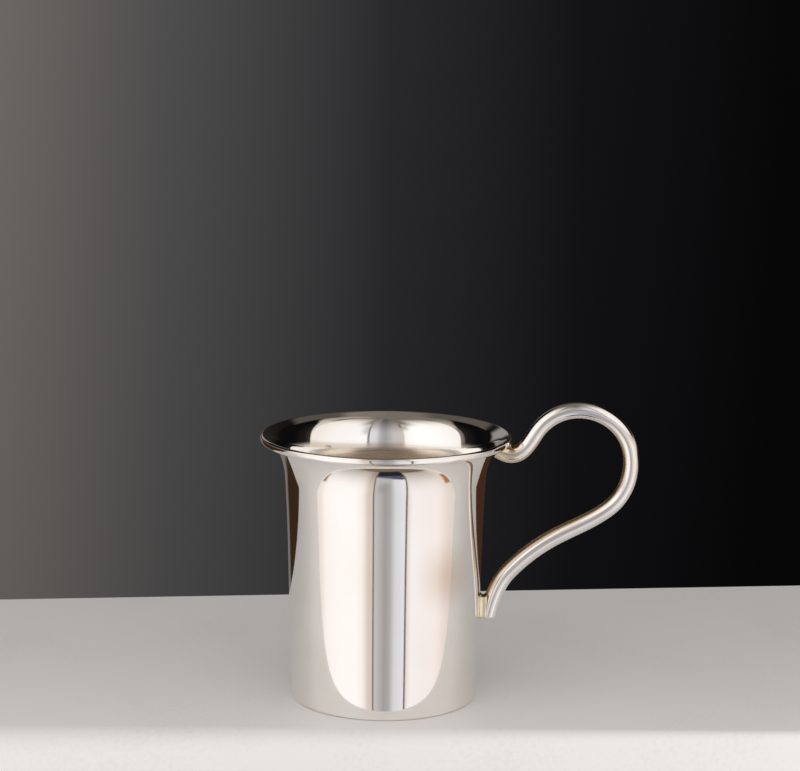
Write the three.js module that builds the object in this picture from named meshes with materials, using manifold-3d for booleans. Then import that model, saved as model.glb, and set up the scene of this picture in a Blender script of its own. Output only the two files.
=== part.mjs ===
// A christening cup in silver: a seamless tapering body with a flared mouth, a flat base let into
// its foot, a half-round wire round the lip, and a bent round rod as the handle.
// Millimetres, +Z up. The origin is the centre of the base, on the surface the cup stands on.
// The handle lies in the XZ plane, on the +X side.

import * as THREE from 'three';
import { mergeVertices } from 'three/addons/utils/BufferGeometryUtils.js';
import Module from 'manifold-3d';

// Driving dimensions of the body. A lean is in degrees from the vertical, outwards.
const CUP_HEIGHT = 75;
const WALL_THICKNESS = 0.8;
const BASE_RADIUS = 26.0;
const BASE_EDGE_ROUNDING = 0.6;
const BASE_LEAN = 3.2;
const NECK_RADIUS = 28.07;
const NECK_DROP = 12.2;
const NECK_LEAN = 3.5;
const BASE_THICKNESS = 1.0;
const BASE_SEAM_LEG = 0.8;

// Driving dimensions of the mouth. The flare ends in a straight land that the wire is soldered to.
const MOUTH_RADIUS = 34.94;
const LIP_LEAN = 61;
const FLARE_TIGHTNESS = 0.59;
const WIRE_RADIUS = 1.0;
const WIRE_SEAM_LEG = 0.4;

// Driving dimensions of the handle. A heading is in degrees up from +X.
const ROD_RADIUS = 2.33;
const FOOT_HEIGHT = 22.5;
const FOOT_HEADING = 78;
const FILED_DEPTH = 1.9;
const LUG_THICKNESS = 1.95;
const LUG_WIDTH = 4.4;
const LUG_HEIGHT = 6.8;
const LUG_DIP = 0.7;
const HANDLE_REACH = 33.4;
const HANDLE_RISE = 7.05;
const ROD_UNDER_WIRE = 1.2;
const UPPER_SOLDER_REACH = 2.6;
const UPPER_SOLDER_WIDTH = 3.2;
const SEAT_GAP = 0.3;

// Bends of the rod: where each lies, and the heading of the rod there. The leg's bends are
// measured from the rod's foot.
const LEG_BENDS = [
  { out: 5.7, up: 13.3, heading: 47 },
  { out: 17.9, up: 23.0, heading: 30 },
];
// The loop's bends are measured from its outermost bend, and those near the cup from the rim.
const LOOP_START = { back: 5.9, down: 16.1, heading: 38 };
const LOOP_SIDE = { drop: 4.85, heading: 100 };
const LOOP_CROWN = { back: 14.1, heading: 178 };
const LOOP_SHOULDER = { out: 7.1, up: 0.75, heading: 237 };
const TUCK_HEADING = 178;
const TIP = { back: 3.8, up: 1.2, heading: 155 };

// Finishes, as roughness
const MIRROR_POLISH = 0.06;
const HAND_POLISH = 0.1;
const SOLDER_SKIN = 0.25;

// Fineness of the faceted solids
const ROUND_SEGMENTS = 72;
const SIDE_STEPS = 7;
const FLARE_STEPS = 6;
const SMALL_ARC_STEPS = 4;
const WIRE_ARC_STEPS = 8;
const ROD_ARC_STEPS = 7;
const ROD_STEPS = 64;
const WELD = 1e-4;
const OVERCUT = 2;

const radians = THREE.MathUtils.degToRad;
const wasm = await Module();
wasm.setup();

// A direction in a (radius, height) outline that leans outwards from the vertical.
function leaning(degrees) {
  return new THREE.Vector2(Math.sin(radians(degrees)), Math.cos(radians(degrees)));
}

// A direction in the XZ plane, given by its heading up from +X.
function headed(degrees) {
  return new THREE.Vector2(Math.cos(radians(degrees)), Math.sin(radians(degrees)));
}

function arcPoints(centre, radius, fromDegrees, toDegrees, steps) {
  const points = [];
  for (let i = 0; i <= steps; i += 1) {
    const heading = fromDegrees + ((toDegrees - fromDegrees) * i) / steps;
    points.push(headed(heading).multiplyScalar(radius).add(centre));
  }
  return points;
}

// A run of (radius, height) points turned round the Z axis.
function turned(outline) {
  const geometry = new THREE.LatheGeometry(outline, ROUND_SEGMENTS);
  geometry.rotateX(Math.PI / 2);
  return geometry;
}

function turnedRing(outline) {
  return turned([...outline, outline[0].clone()]);
}

// A flat outline in X and Z, given thickness along Y and centred on the handle's plane.
function slab(outline, width) {
  const geometry = new THREE.ExtrudeGeometry(new THREE.Shape(outline), {
    depth: width,
    bevelEnabled: false,
  });
  geometry.translate(0, 0, -width / 2);
  geometry.rotateX(Math.PI / 2);
  return geometry;
}

function block(lowX, highX, lowZ, highZ, width) {
  const geometry = new THREE.BoxGeometry(highX - lowX, width, highZ - lowZ);
  geometry.translate((lowX + highX) / 2, 0, (lowZ + highZ) / 2);
  return geometry;
}

function solidOf(geometry) {
  const bare = geometry.clone();
  bare.deleteAttribute('normal');
  bare.deleteAttribute('uv');
  const welded = mergeVertices(bare, WELD);
  return new wasm.Manifold(new wasm.Mesh({
    numProp: 3,
    vertProperties: new Float32Array(welded.attributes.position.array),
    triVerts: new Uint32Array(welded.index.array),
  }));
}

function geometryOf(solid) {
  const mesh = solid.getMesh();
  const geometry = new THREE.BufferGeometry();
  geometry.setAttribute('position', new THREE.BufferAttribute(mesh.vertProperties, 3));
  geometry.setIndex(new THREE.BufferAttribute(mesh.triVerts, 1));
  geometry.computeVertexNormals();
  return geometry;
}

function cutBy(geometry, cutters) {
  let solid = solidOf(geometry);
  for (const cutter of cutters) {
    solid = solid.subtract(solidOf(cutter));
  }
  return geometryOf(solid);
}

// The lip: where its straight land ends on the outside, and where the wire's centre lies on it.
const lipRun = leaning(LIP_LEAN);
const lipOutward = new THREE.Vector2(lipRun.y, -lipRun.x);
const lipEnd = new THREE.Vector2(
  MOUTH_RADIUS - WIRE_RADIUS + lipRun.x * WIRE_RADIUS,
  CUP_HEIGHT - (WALL_THICKNESS / 2) * (1 + lipRun.x),
);
const wireCentre = lipEnd.clone().addScaledVector(lipRun, -WIRE_RADIUS);
const wireFoot = lipEnd.clone().addScaledVector(lipRun, -2 * WIRE_RADIUS);
const landStart = wireFoot.clone().addScaledVector(lipRun, -WIRE_SEAM_LEG);
const lipMiddle = lipEnd.clone().addScaledVector(lipOutward, -WALL_THICKNESS / 2);

// The outside of the wall is two curves: the side, from the rounded base edge to the neck, and the
// flare, from the neck to the land.
const sideStart = new THREE.Vector2(BASE_RADIUS, BASE_EDGE_ROUNDING);
const neck = new THREE.Vector2(NECK_RADIUS, CUP_HEIGHT - NECK_DROP);
const sideReach = (neck.y - sideStart.y) / 3;
const side = new THREE.CubicBezierCurve(
  sideStart,
  sideStart.clone().addScaledVector(leaning(BASE_LEAN), sideReach),
  neck.clone().addScaledVector(leaning(NECK_LEAN), -sideReach),
  neck,
);

// The corner where the neck's line and the land's line would meet; the flare rounds it off.
function flareCorner() {
  const neckRun = leaning(NECK_LEAN);
  const gap = landStart.clone().sub(neck);
  const along = (gap.x * lipRun.y - gap.y * lipRun.x) / (neckRun.x * lipRun.y - neckRun.y * lipRun.x);
  return neck.clone().addScaledVector(neckRun, along);
}

const corner = flareCorner();
const flare = new THREE.CubicBezierCurve(
  neck,
  neck.clone().lerp(corner, FLARE_TIGHTNESS),
  landStart.clone().lerp(corner, FLARE_TIGHTNESS),
  landStart,
);

// The wall's outside at a distance outwards from it, or inwards where the distance is negative.
function wallOutline(distance) {
  const points = [];
  const offset = (curve, t) => {
    const run = curve.getTangent(t);
    return curve.getPoint(t).add(new THREE.Vector2(run.y, -run.x).multiplyScalar(distance));
  };
  for (let i = 0; i < SIDE_STEPS; i += 1) {
    points.push(offset(side, i / SIDE_STEPS));
  }
  for (let i = 0; i <= FLARE_STEPS; i += 1) {
    points.push(offset(flare, i / FLARE_STEPS));
  }
  points.push(lipEnd.clone().addScaledVector(lipOutward, distance));
  return points;
}

// The radius of the wall's outside at a height on its side.
function sideRadius(height) {
  const t = (height - sideStart.y) / (neck.y - sideStart.y);
  return side.getPoint(t).x;
}

const boreRadius = BASE_RADIUS - WALL_THICKNESS;
const seamTop = BASE_THICKNESS + BASE_SEAM_LEG;

function bodyWall() {
  const baseEdge = arcPoints(
    new THREE.Vector2(BASE_RADIUS - BASE_EDGE_ROUNDING, BASE_EDGE_ROUNDING),
    BASE_EDGE_ROUNDING,
    -90,
    0,
    SMALL_ARC_STEPS,
  );
  const outside = wallOutline(0).slice(1);
  const lipEdge = arcPoints(
    lipMiddle,
    WALL_THICKNESS / 2,
    -LIP_LEAN,
    180 - LIP_LEAN,
    SMALL_ARC_STEPS,
  ).slice(1, -1);
  const inside = wallOutline(-WALL_THICKNESS).filter((point) => point.y > seamTop).reverse();
  const seat = [
    new THREE.Vector2(boreRadius, seamTop),
    new THREE.Vector2(boreRadius, BASE_THICKNESS),
    new THREE.Vector2(boreRadius, 0),
  ];
  return turnedRing([...baseEdge, ...outside, ...lipEdge, ...inside, ...seat]);
}

function baseDisc() {
  return turned([
    new THREE.Vector2(0, 0),
    new THREE.Vector2(boreRadius, 0),
    new THREE.Vector2(boreRadius, BASE_THICKNESS),
    new THREE.Vector2(0, BASE_THICKNESS),
  ]);
}

// The hard solder in the corner between the base and the wall, hollowed as molten metal leaves it.
function baseSeamSolder() {
  const hollow = arcPoints(
    new THREE.Vector2(boreRadius - BASE_SEAM_LEG, seamTop),
    BASE_SEAM_LEG,
    0,
    -90,
    SMALL_ARC_STEPS,
  );
  return turnedRing([new THREE.Vector2(boreRadius, BASE_THICKNESS), ...hollow]);
}

// The half-round wire: its flat lies on the land, and its round side faces out and down.
function wireArc(radius) {
  return arcPoints(wireCentre, radius, -90 - LIP_LEAN, 90 - LIP_LEAN, WIRE_ARC_STEPS);
}

function mouthWire() {
  return turnedRing(wireArc(WIRE_RADIUS));
}

// The solder in the corner under the wire: one leg along the wall, the other down the wire.
function mouthWireSolder() {
  const onWire = wireArc(WIRE_RADIUS)[1];
  return turnedRing([landStart, onWire, wireFoot]);
}

// The handle's path, one smooth bend after another.
const lugFace = sideRadius(FOOT_HEIGHT) + LUG_THICKNESS;
const foot = { x: lugFace + ROD_RADIUS - FILED_DEPTH, z: FOOT_HEIGHT, heading: FOOT_HEADING };

function handleBends() {
  const outermost = MOUTH_RADIUS + HANDLE_REACH;
  const loopSide = { x: outermost, z: CUP_HEIGHT - LOOP_SIDE.drop, heading: LOOP_SIDE.heading };
  const tuck = {
    x: MOUTH_RADIUS,
    z: wireCentre.y - WIRE_RADIUS - ROD_UNDER_WIRE - ROD_RADIUS,
    heading: TUCK_HEADING,
  };
  const footRun = headed(FOOT_HEADING);
  return [
    { x: foot.x - footRun.x * OVERCUT, z: foot.z - footRun.y * OVERCUT, heading: FOOT_HEADING },
    foot,
    ...LEG_BENDS.map(({ out, up, heading }) => ({ x: foot.x + out, z: foot.z + up, heading })),
    { x: outermost - LOOP_START.back, z: loopSide.z - LOOP_START.down, heading: LOOP_START.heading },
    loopSide,
    { x: outermost - LOOP_CROWN.back, z: CUP_HEIGHT + HANDLE_RISE, heading: LOOP_CROWN.heading },
    {
      x: MOUTH_RADIUS + LOOP_SHOULDER.out,
      z: CUP_HEIGHT + LOOP_SHOULDER.up,
      heading: LOOP_SHOULDER.heading,
    },
    tuck,
    { x: tuck.x - TIP.back, z: tuck.z + TIP.up, heading: TIP.heading },
  ];
}

// One bend as a cubic curve that comes as near a circular arc as its two ends allow.
function bendCurve(start, end) {
  const from = new THREE.Vector2(start.x, start.z);
  const to = new THREE.Vector2(end.x, end.z);
  const turn = Math.abs(radians(end.heading - start.heading));
  const chord = from.distanceTo(to);
  const straight = turn < WELD;
  const pull = straight ? chord / 3 : (chord * (4 / 3) * Math.tan(turn / 4)) / (2 * Math.sin(turn / 2));
  const leaving = from.clone().addScaledVector(headed(start.heading), pull);
  const arriving = to.clone().addScaledVector(headed(end.heading), -pull);
  const corners = [from, leaving, arriving, to].map((point) => new THREE.Vector3(point.x, 0, point.y));
  return new THREE.CubicBezierCurve3(...corners);
}

function handlePath() {
  const path = new THREE.CurvePath();
  const bends = handleBends();
  for (let i = 1; i < bends.length; i += 1) {
    path.add(bendCurve(bends[i - 1], bends[i]));
  }
  return path;
}

function rodSwept(radius) {
  const section = new THREE.Shape();
  section.absarc(0, 0, radius, 0, 2 * Math.PI);
  return new THREE.ExtrudeGeometry(section, {
    curveSegments: ROD_ARC_STEPS,
    steps: ROD_STEPS,
    extrudePath: handlePath(),
  });
}

// Solids a little larger than the wall and the wire, which keep the handle's pieces clear of them.
function wallClearance() {
  const outside = wallOutline(SEAT_GAP);
  const core = boreRadius - OVERCUT;
  return turnedRing([
    ...outside,
    new THREE.Vector2(core, outside.at(-1).y),
    new THREE.Vector2(core, outside[0].y),
  ]);
}

function wireClearance() {
  return turnedRing(arcPoints(wireCentre, WIRE_RADIUS + SEAT_GAP, 0, 360, 2 * WIRE_ARC_STEPS).slice(0, -1));
}

// The rod is filed flat where it lies against the lug, and cut level at its foot.
function handleRod() {
  const lugTop = FOOT_HEIGHT + LUG_HEIGHT;
  const wide = 2 * (ROD_RADIUS + OVERCUT);
  const filed = block(lugFace - wide, lugFace, FOOT_HEIGHT - wide, lugTop + OVERCUT, wide);
  const belowFoot = block(lugFace - wide, lugFace + wide, FOOT_HEIGHT - wide, FOOT_HEIGHT, wide);
  return cutBy(rodSwept(ROD_RADIUS), [filed, belowFoot, wallClearance(), wireClearance()]);
}

// The lug: a short block between the wall and the rod's foot, with a hollowed top.
function lowerHandleLug() {
  const lugTop = FOOT_HEIGHT + LUG_HEIGHT;
  const inner = boreRadius;
  const outline = new THREE.Shape();
  outline.moveTo(inner, FOOT_HEIGHT);
  outline.lineTo(lugFace, FOOT_HEIGHT);
  outline.lineTo(lugFace, lugTop);
  const wallFace = sideRadius(lugTop);
  outline.quadraticCurveTo((wallFace + lugFace) / 2, lugTop - 2 * LUG_DIP, wallFace, lugTop);
  outline.lineTo(inner, lugTop);
  return cutBy(slab(outline.getPoints(SMALL_ARC_STEPS), LUG_WIDTH), [wallClearance()]);
}

// The solder pooled in the notch between the wire, the flare and the top of the rod.
function upperHandleSolder() {
  const inner = landStart.x - WIRE_SEAM_LEG;
  const reach = MOUTH_RADIUS + UPPER_SOLDER_REACH;
  const bottom = wireCentre.y - WIRE_RADIUS - ROD_UNDER_WIRE - ROD_RADIUS;
  const outline = new THREE.Shape();
  outline.moveTo(inner, bottom);
  outline.lineTo(reach, bottom);
  outline.lineTo(reach, wireCentre.y - WIRE_RADIUS);
  outline.quadraticCurveTo(MOUTH_RADIUS, wireCentre.y - WIRE_RADIUS, MOUTH_RADIUS, wireCentre.y);
  outline.lineTo(inner, wireCentre.y);
  const blank = slab(outline.getPoints(SMALL_ARC_STEPS), UPPER_SOLDER_WIDTH);
  return cutBy(blank, [wallClearance(), wireClearance(), rodSwept(ROD_RADIUS + SEAT_GAP)]);
}

function silver(roughness) {
  return new THREE.MeshStandardMaterial({ color: 0xe8e4de, metalness: 1, roughness });
}

function solder() {
  return new THREE.MeshStandardMaterial({ color: 0xd8c08a, metalness: 1, roughness: SOLDER_SKIN });
}

const cup = new THREE.Group();

function addPiece(name, geometry, material) {
  const piece = new THREE.Mesh(geometry, material);
  piece.name = name;
  cup.add(piece);
}

addPiece('body_wall', bodyWall(), silver(MIRROR_POLISH));
addPiece('base_disc', baseDisc(), silver(HAND_POLISH));
addPiece('base_seam_solder', baseSeamSolder(), solder());
addPiece('mouth_wire', mouthWire(), silver(MIRROR_POLISH));
addPiece('mouth_wire_solder', mouthWireSolder(), solder());
addPiece('handle_rod', handleRod(), silver(HAND_POLISH));
addPiece('upper_handle_solder', upperHandleSolder(), solder());
addPiece('lower_handle_lug', lowerHandleLug(), solder());

export default cup;
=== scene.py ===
# %% [markdown]
# # A silver christening cup, dressed over its frame
# The cup is a few pieces of silver soldered into one: a thin body with a flared mouth, a flat
# base, a half-round wire under the lip, and a bent rod as the handle. The frame holds each piece
# as a faceted solid. Polished silver is a mirror, and a mirror shows every facet, so each piece is
# turned or swept again here with many more steps. The measures are the same, but for the lip's
# bead, which is a little fuller.

# %% Load the frame
import math

import bmesh
import bpy
from mathutils import Matrix, Vector
from mathutils.kdtree import KDTree


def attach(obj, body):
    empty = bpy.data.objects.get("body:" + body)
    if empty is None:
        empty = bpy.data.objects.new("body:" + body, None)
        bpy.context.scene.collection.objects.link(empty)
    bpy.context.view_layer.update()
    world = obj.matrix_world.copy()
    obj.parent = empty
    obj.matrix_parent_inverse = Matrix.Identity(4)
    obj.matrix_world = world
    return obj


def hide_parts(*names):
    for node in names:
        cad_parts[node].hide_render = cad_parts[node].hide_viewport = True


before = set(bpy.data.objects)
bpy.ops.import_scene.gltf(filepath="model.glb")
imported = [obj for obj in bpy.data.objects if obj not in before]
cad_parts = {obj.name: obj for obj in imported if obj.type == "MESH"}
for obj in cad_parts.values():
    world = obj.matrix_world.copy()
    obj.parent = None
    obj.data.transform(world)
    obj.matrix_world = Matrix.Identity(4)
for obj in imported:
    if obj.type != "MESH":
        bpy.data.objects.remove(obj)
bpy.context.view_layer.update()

scene = bpy.context.scene
print("frame nodes:", sorted(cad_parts))

# %% [markdown]
# ## Helpers
# Measures are written in millimetres, as they would be at the bench, and turned to metres only
# where Blender is given them. Colours are written as sRGB hex values, as they are read off a
# screen, and one function turns them to the linear values that the shaders work in.

# %% Units and colour
MM = 0.001


def linear(hex_colour):
    """An sRGB hex colour as linear RGBA."""
    channels = []
    for start in (0, 2, 4):
        value = int(hex_colour[start:start + 2], 16) / 255
        channels.append(value / 12.92 if value <= 0.04045 else ((value + 0.055) / 1.055) ** 2.4)
    return (*channels, 1.0)


# %% [markdown]
# A node tree is easier to read when each node is one call. The first helper adds a node, sets its
# properties, and fills its inputs. An input given as a socket is linked, a hex colour is made
# linear, and any other value is set on the socket as it is. The helper gives back the output that
# goes on: the first one in use, or the one that is asked for.
#
# Two more start and end a material. All materials are drawn by place on the piece, and all end in
# one Principled shader. The last one is for stains and for painted shade, which lie round a point
# and fade outwards.

# %% Helpers for nodes and materials
def add_node(tree, kind, inputs=None, stops=None, output=None, **settings):
    """Adds a shader node with its settings, its links and, for a ramp, its colour stops."""
    node = tree.nodes.new("ShaderNode" + kind)
    for name, value in settings.items():
        setattr(node, name, value)
    for name, value in (inputs or {}).items():
        if isinstance(value, bpy.types.NodeSocket):
            tree.links.new(value, node.inputs[name])
        else:
            node.inputs[name].default_value = linear(value) if isinstance(value, str) else value
    if stops:
        elements = node.color_ramp.elements
        while len(elements) < len(stops):
            elements.new(0.5)
        for element, (place, colour) in zip(elements, stops):
            element.position = place
            element.color = linear(colour)
    if output:
        return node.outputs[output]
    return next((socket for socket in node.outputs if socket.enabled), None)


def new_material(name):
    """An empty material, its node tree, and the place on the piece as a socket."""
    material = bpy.data.materials.new(name)
    material.use_nodes = True
    tree = material.node_tree
    tree.nodes.clear()
    return material, tree, add_node(tree, "TexCoord", output="Object")


def finish_material(material, colour, roughness, normal, metallic=1.0):
    """Ends a material in a Principled shader, a metal unless told otherwise."""
    tree = material.node_tree
    looks = {"Base Color": colour, "Roughness": roughness, "Normal": normal, "Metallic": metallic}
    surface = add_node(tree, "BsdfPrincipled", looks)
    add_node(tree, "OutputMaterial", {"Surface": surface})
    return material


def soft_spot(tree, place, centre, core, reach, unevenness=0.0, fraying=0.0):
    """1 within the core round a centre, fading to 0 at its reach, with an edge that may fray."""
    ends = {0: place, 1: Vector(centre) * MM}
    distance = add_node(tree, "VectorMath", ends, operation="DISTANCE")
    frayed = {0: unevenness, 1: fraying * MM, 2: distance}
    distance = add_node(tree, "Math", frayed, operation="MULTIPLY_ADD")
    span = {"Value": distance, "From Min": reach * MM, "From Max": core * MM}
    return add_node(tree, "MapRange", span, interpolation_type="SMOOTHSTEP")


# %% [markdown]
# ## The camera
# The cup was photographed from a little above, from far enough away that its sides look almost
# parallel. A long lens does the same. The angles are the ones at which the rim, the base and the
# plinth's edges all fall where the photograph has them. A new camera looks straight down, so it
# is rolled a little, tipped up almost to level, and turned a little to the right.

# %% Camera
CAMERA_PLACE = Vector((0.0, -641.1, 201.8)) * MM
CAMERA_PITCH = math.radians(10.01)
CAMERA_YAW = math.radians(0.339)
CAMERA_ROLL = math.radians(0.553)
CAMERA_LENS = 105.5
SENSOR_WIDTH = 36.0
NEAREST = 50.0
FARTHEST = 20000.0

camera = bpy.data.objects.new("camera", bpy.data.cameras.new("camera"))
camera.data.lens = CAMERA_LENS
camera.data.sensor_width = SENSOR_WIDTH
camera.data.clip_start = NEAREST * MM
camera.data.clip_end = FARTHEST * MM
camera.matrix_world = (
    Matrix.Translation(CAMERA_PLACE)
    @ Matrix.Rotation(-CAMERA_YAW, 4, "Z")
    @ Matrix.Rotation(math.pi / 2 - CAMERA_PITCH, 4, "X")
    @ Matrix.Rotation(CAMERA_ROLL, 4, "Z")
)
scene.collection.objects.link(camera)
scene.camera = camera
print("camera with a", CAMERA_LENS, "mm lens")

# %% [markdown]
# ## The outline of the body
# A body like this is raised or spun from one sheet, so one outline turned round the axis gives its
# whole shape. The outline is a nearly straight side, then a flare that ends in a short straight
# land at the lip. Cubic curves hold both, because they give a smooth direction everywhere, and a
# mirror shows a jump in direction as a break in every reflection. A lean is an angle outwards
# from the vertical.

# %% Measures of the body
CUP_HEIGHT = 75.0
WALL = 0.8
BASE_RADIUS = 26.0
BASE_ROUNDING = 0.6
BASE_LEAN = 3.2
NECK_RADIUS = 28.07
NECK_HEIGHT = 62.8
NECK_LEAN = 3.5
BASE_THICKNESS = 1.0
BASE_SEAM = 0.8
MOUTH_RADIUS = 35.0
LIP_LEAN = 61.0
FLARE_TIGHTNESS = 0.59
WIRE_RADIUS = 1.12
BEAD_ROUNDING = 0.65
BEAD_REACH = 0.62
WIRE_SEAM = 0.3


def headed(degrees):
    """The direction in (radius, height) at an angle up from the horizontal."""
    return Vector((math.cos(math.radians(degrees)), math.sin(math.radians(degrees))))


def cubic(corners, t):
    """A cubic curve's point and direction at t."""
    a, b, c, d = corners
    s = 1 - t
    point = a * s ** 3 + b * (3 * s * s * t) + c * (3 * s * t * t) + d * t ** 3
    run = (b - a) * (3 * s * s) + (c - b) * (6 * s * t) + (d - c) * (3 * t * t)
    return point, run.normalized()


def arc(centre, radius, start, end, steps):
    """Points along an arc, from one heading to another in degrees."""
    return [centre + headed(start + (end - start) * i / steps) * radius for i in range(steps + 1)]


# %% The lip, the side and the flare
lip_run = headed(90 - LIP_LEAN)
lip_out = Vector((lip_run.y, -lip_run.x))
to_bead_top = lip_run * BEAD_REACH - lip_out * (WALL - BEAD_ROUNDING)
wire_centre = Vector((MOUTH_RADIUS - WIRE_RADIUS, CUP_HEIGHT - BEAD_ROUNDING - to_bead_top.y))
wire_foot = wire_centre - lip_run * WIRE_RADIUS
lip_end = wire_centre + lip_run * BEAD_REACH
land_start = wire_foot - lip_run * WIRE_SEAM

side_start = Vector((BASE_RADIUS, BASE_ROUNDING))
neck = Vector((NECK_RADIUS, NECK_HEIGHT))
neck_run = headed(90 - NECK_LEAN)
reach = (NECK_HEIGHT - BASE_ROUNDING) / 3
side = (side_start, side_start + headed(90 - BASE_LEAN) * reach, neck - neck_run * reach, neck)

gap = land_start - neck
along = (gap.x * lip_run.y - gap.y * lip_run.x) / (neck_run.x * lip_run.y - neck_run.y * lip_run.x)
flare_corner = neck + neck_run * along
flare = (
    neck,
    neck.lerp(flare_corner, FLARE_TIGHTNESS),
    land_start.lerp(flare_corner, FLARE_TIGHTNESS),
    land_start,
)

SIDE_STEPS = 48
FLARE_STEPS = 44
LAND_STEPS = 5


def wall_line(distance):
    """The wall's outside from base to lip, moved outwards by a distance."""
    points = []
    for curve, steps in ((side, SIDE_STEPS), (flare, FLARE_STEPS)):
        for i in range(steps):
            point, run = cubic(curve, i / steps)
            points.append(point + Vector((run.y, -run.x)) * distance)
    for i in range(LAND_STEPS + 1):
        points.append(land_start.lerp(lip_end, i / LAND_STEPS) + lip_out * distance)
    return points


outside = wall_line(0)
inside = wall_line(-WALL)
print("wall line:", len(outside), "points, lip at", [round(value, 2) for value in lip_end])

# %% [markdown]
# ## Turning a piece
# The turned pieces share one helper. It stacks the outline's points as rings round the axis and
# joins neighbouring rings with quads. A point on the axis becomes a single vertex with triangles.

# %% The lathe
ROUND_STEPS = 288
WELD_DISTANCE = 0.0005
SHARP_ANGLE = math.radians(40)


def make_mesh(name, shape, material):
    """A smooth mesh in metres from a shape, which is its vertices and its faces."""
    vertices, faces = shape
    mesh = bpy.data.meshes.new(name)
    mesh.from_pydata([Vector(vertex) * MM for vertex in vertices], [], faces)
    mesh.materials.append(material)
    mesh.shade_smooth()
    return mesh


def make_piece(name, shape, node, material):
    """A piece that stands for one of the frame's nodes."""
    mesh = make_mesh(name, shape, material)
    mesh.validate()
    shaped = bmesh.new()
    shaped.from_mesh(mesh)
    bmesh.ops.remove_doubles(shaped, verts=shaped.verts, dist=WELD_DISTANCE * MM)
    bmesh.ops.recalc_face_normals(shaped, faces=shaped.faces)
    shaped.to_mesh(mesh)
    shaped.free()
    piece = bpy.data.objects.new(name, mesh)
    scene.collection.objects.link(piece)
    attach(piece, "root")
    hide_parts(node)
    print(name, len(mesh.polygons), "faces")
    return piece


def turn(outline, closed=True):
    """Vertices and faces of an outline of (radius, height) points turned round the axis."""
    vertices = []
    rings = []
    for radius, height in outline:
        if radius == 0:
            rings.append([len(vertices)] * ROUND_STEPS)
            vertices.append((0, 0, height))
            continue
        rings.append(list(range(len(vertices), len(vertices) + ROUND_STEPS)))
        for i in range(ROUND_STEPS):
            angle = 2 * math.pi * i / ROUND_STEPS
            vertices.append((radius * math.cos(angle), radius * math.sin(angle), height))
    faces = []
    pairs = list(zip(rings, rings[1:]))
    if closed:
        pairs.append((rings[-1], rings[0]))
    for lower, upper in pairs:
        for i in range(ROUND_STEPS):
            j = (i + 1) % ROUND_STEPS
            faces.append(list(dict.fromkeys((lower[i], lower[j], upper[j], upper[i]))))
    return vertices, faces


# %% [markdown]
# ## Polished silver
# Sterling silver is polished with a mop until it is a mirror. It reflects almost all light and
# only slightly less blue than red, which gives its warm white. What tells it from chrome is the
# hand work: faint waves left by planishing, and hair-fine marks from years of wiping, which run
# round the body. The waves go into the bump, the wiping marks into the roughness. The brown
# smudge is old tarnish, where a damp thumb held the cup.

# %% Polished silver, for the body and the wire
FINISH_DEPTH = 0.004
SMUDGE = (17.0, -21.4, 40.0)
SMUDGE_CORE = 4.0
SMUDGE_REACH = 16.0
SMUDGE_FRAYING = 8.0


def polished_silver():
    material, tree, place = new_material("polished_silver")
    # Planishing leaves waves about 9 mm apart and only a few thousandths of a millimetre deep
    waves = add_node(tree, "TexNoise", {"Vector": place, "Scale": 1 / (9 * MM), "Detail": 1.0})
    bump = add_node(tree, "Bump", {"Height": waves, "Distance": FINISH_DEPTH * MM})
    # Wiping marks run round the cup, 8 mm long, and lie 0.4 mm apart along the axis
    wiped = add_node(tree, "Mapping", {"Vector": place, "Scale": (120, 120, 2500)})
    marks = add_node(tree, "TexNoise", {"Vector": wiped, "Scale": 1.0, "Detail": 4.0})
    haze = add_node(
        tree, "MapRange",
        {"Value": marks, "From Min": 0.35, "From Max": 0.75, "To Min": 0.035, "To Max": 0.075},
    )
    # A breath of tarnish, in patches about 20 mm across, which also frays the smudge's edge
    breath = add_node(tree, "TexNoise", {"Vector": place, "Scale": 1 / (20 * MM), "Detail": 3.0})
    tint = add_node(tree, "ValToRGB", {"Fac": breath}, stops=[(0.35, "FCF9F6"), (0.75, "F9F5F0")])
    smudge = soft_spot(tree, place, SMUDGE, SMUDGE_CORE, SMUDGE_REACH, breath, SMUDGE_FRAYING)
    tint = add_node(tree, "Mix", {"Factor": smudge, "A": tint, "B": "E6D8CD"}, data_type="RGBA")
    return finish_material(material, tint, haze, bump)


SILVER = polished_silver()

# %% [markdown]
# Deep inside, the mop can't reach, and the silver keeps the satin of the spinning. A warm tan
# reflection is painted into its colour there. Down to the neck it is still a mirror. The height
# above the base drives both.

# %% Silver inside the cup
MIRROR_ABOVE = 70.6
SATIN_BELOW = 63.0
SATIN_FRAYING = 4.0


def inside_silver():
    material, tree, place = new_material("inside_silver")
    height = add_node(tree, "SeparateXYZ", {"Vector": place}, output="Z")
    # Spinning leaves rings about 0.3 mm apart
    rings = add_node(tree, "Mapping", {"Vector": place, "Scale": (60, 60, 3000)})
    spun = add_node(tree, "TexNoise", {"Vector": rings, "Scale": 1.0, "Detail": 4.0})
    frayed = {0: spun, 1: SATIN_FRAYING * MM, 2: height}
    uneven = add_node(tree, "Math", frayed, operation="MULTIPLY_ADD")
    depth = add_node(
        tree, "MapRange",
        {"Value": uneven, "From Min": MIRROR_ABOVE * MM, "From Max": SATIN_BELOW * MM},
        interpolation_type="SMOOTHSTEP",
    )
    # A warm tan reflection, painted into the colour deep inside
    tint = add_node(
        tree, "ValToRGB", {"Fac": depth}, stops=[(0.0, "FBF9F6"), (0.3, "F8EFE4"), (1.0, "F8E8D6")]
    )
    haze = add_node(tree, "MapRange", {"Value": depth, "To Min": 0.04, "To Max": 0.36})
    bump = add_node(tree, "Bump", {"Height": spun, "Strength": 0.3, "Distance": FINISH_DEPTH * MM})
    return finish_material(material, tint, haze, bump)


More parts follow.
